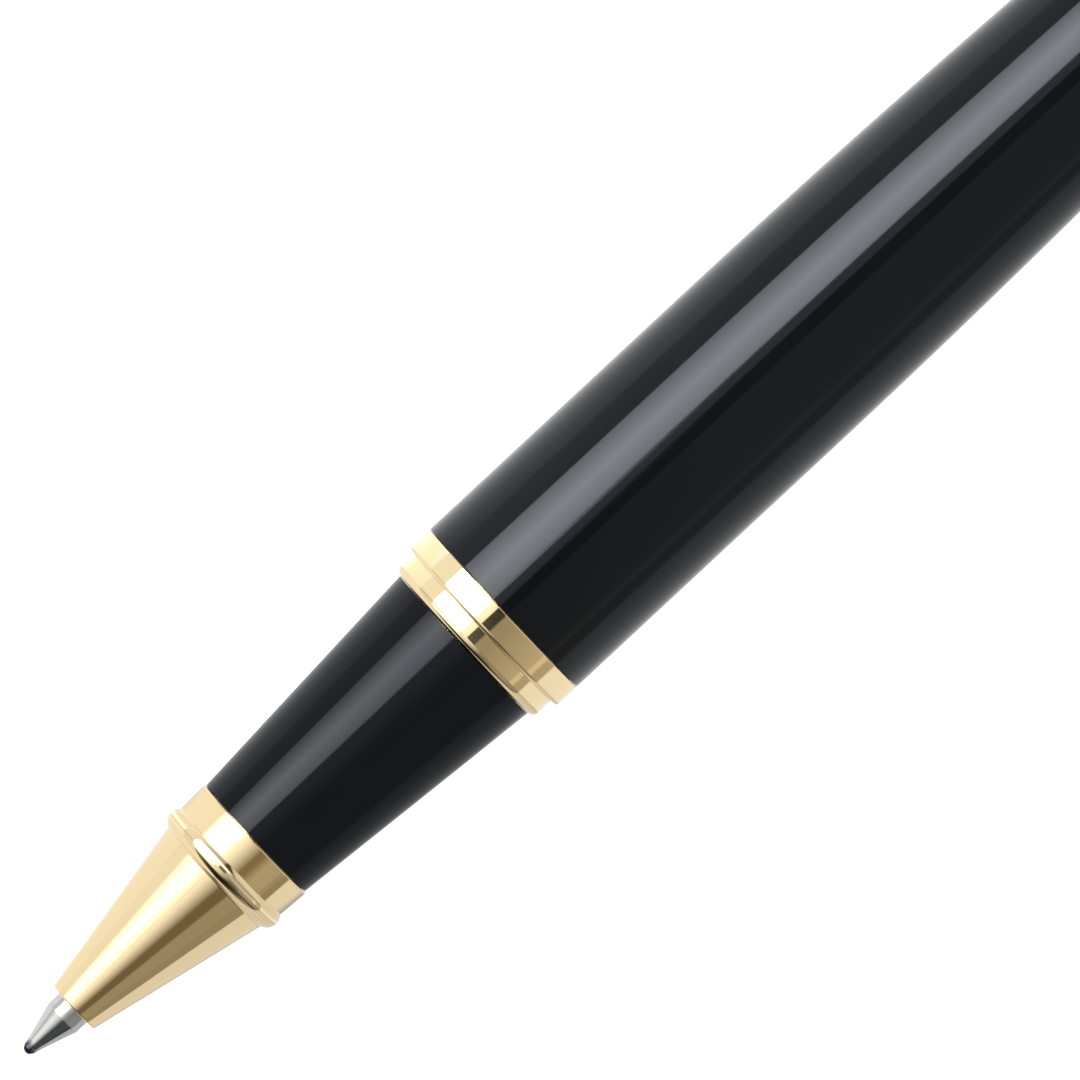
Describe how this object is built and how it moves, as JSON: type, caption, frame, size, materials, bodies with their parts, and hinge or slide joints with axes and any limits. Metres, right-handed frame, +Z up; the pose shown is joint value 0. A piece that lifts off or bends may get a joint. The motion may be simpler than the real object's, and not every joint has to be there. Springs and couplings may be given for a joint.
{
  "type": "rollerball pen",
  "caption": "Slim lacquered metal pen with a tapered grip, a plated conical nose with a bead, a stepped ring, a rolling-ball refill and a push-on cap with a spring clip.",
  "frame": {"origin": "on the surface the pen lies on, under the middle of its length with the cap posted", "axes": "+X along the pen's axis from the writing tip to the finial, +Z up, the clip on the -Y side and low, so that it rests on the surface"},
  "size_m": [0.142, 0.0143, 0.0129],
  "materials": {
    "black_lacquer": "gloss",
    "gold_plate": "polished",
    "raw_brass": "satin",
    "steel": "satin",
    "ball_metal": "polished",
    "spring_steel": "gloss",
    "black_plastic": "satin",
    "white_plastic": "gloss",
    "tube_plastic": "gloss",
    "ink_fibre": "matte",
    "wick_fibre": "matte"
  },
  "bodies": {
    "barrel": {"barrel_tube": "black_lacquer", "thread_bush": "raw_brass", "tail_plug": "black_lacquer", "spring_cup": "black_plastic", "refill_spring": "spring_steel"},
    "refill": {"refill_point": "steel", "refill_holder": "white_plastic", "refill_tube": "tube_plastic", "ink_core": "ink_fibre", "feed_wick": "wick_fibre", "refill_plug": "black_plastic"},
    "ball": {"writing_ball": "ball_metal"},
    "section": {"nose_cone": "gold_plate", "grip_section": "black_lacquer", "section_liner": "raw_brass", "trim_ring": "gold_plate"},
    "cap": {"cap_band": "gold_plate", "snap_ring": "spring_steel", "cap_tube": "black_lacquer", "cap_liner": "black_plastic", "clip_mount": "gold_plate", "finial_cap": "gold_plate", "finial_inlay": "black_lacquer", "finial_screw": "steel"},
    "clip": {"clip_arm": "gold_plate"}
  },
  "joints": [
    {"name": "section_advance", "type": "slide", "parent": "barrel", "child": "refill", "axis": [-1, 0, 0], "range_m": [0, 0.0045], "deforming": ["refill_spring"]},
    {"name": "section_turn", "type": "hinge", "parent": "refill", "child": "section", "pos_m": [-0.031, 0, 0.00645], "axis": [-1, 0, 0], "range_deg": [0, 1620]},
    {"name": "ball_roll", "type": "hinge", "parent": "refill", "child": "ball", "pos_m": [-0.07065, 0, 0.00645], "axis": [0, 1, 0], "continuous": true},
    {"name": "cap_pull", "type": "slide", "parent": "barrel", "child": "cap", "axis": [1, 0, 0], "range_m": [0, 0.05]},
    {"name": "clip_lift", "type": "hinge", "parent": "cap", "child": "clip", "pos_m": [0.06725, -0.00615, 0.0019], "axis": [0, -0.5948, 0.8039], "range_deg": [0, 6], "stiffness_Nm_per_rad": 1.5}
  ],
  "couplings": [
    {"joint": "section_turn", "follows": "section_advance", "rad_per_m": 6283.2}
  ]
}
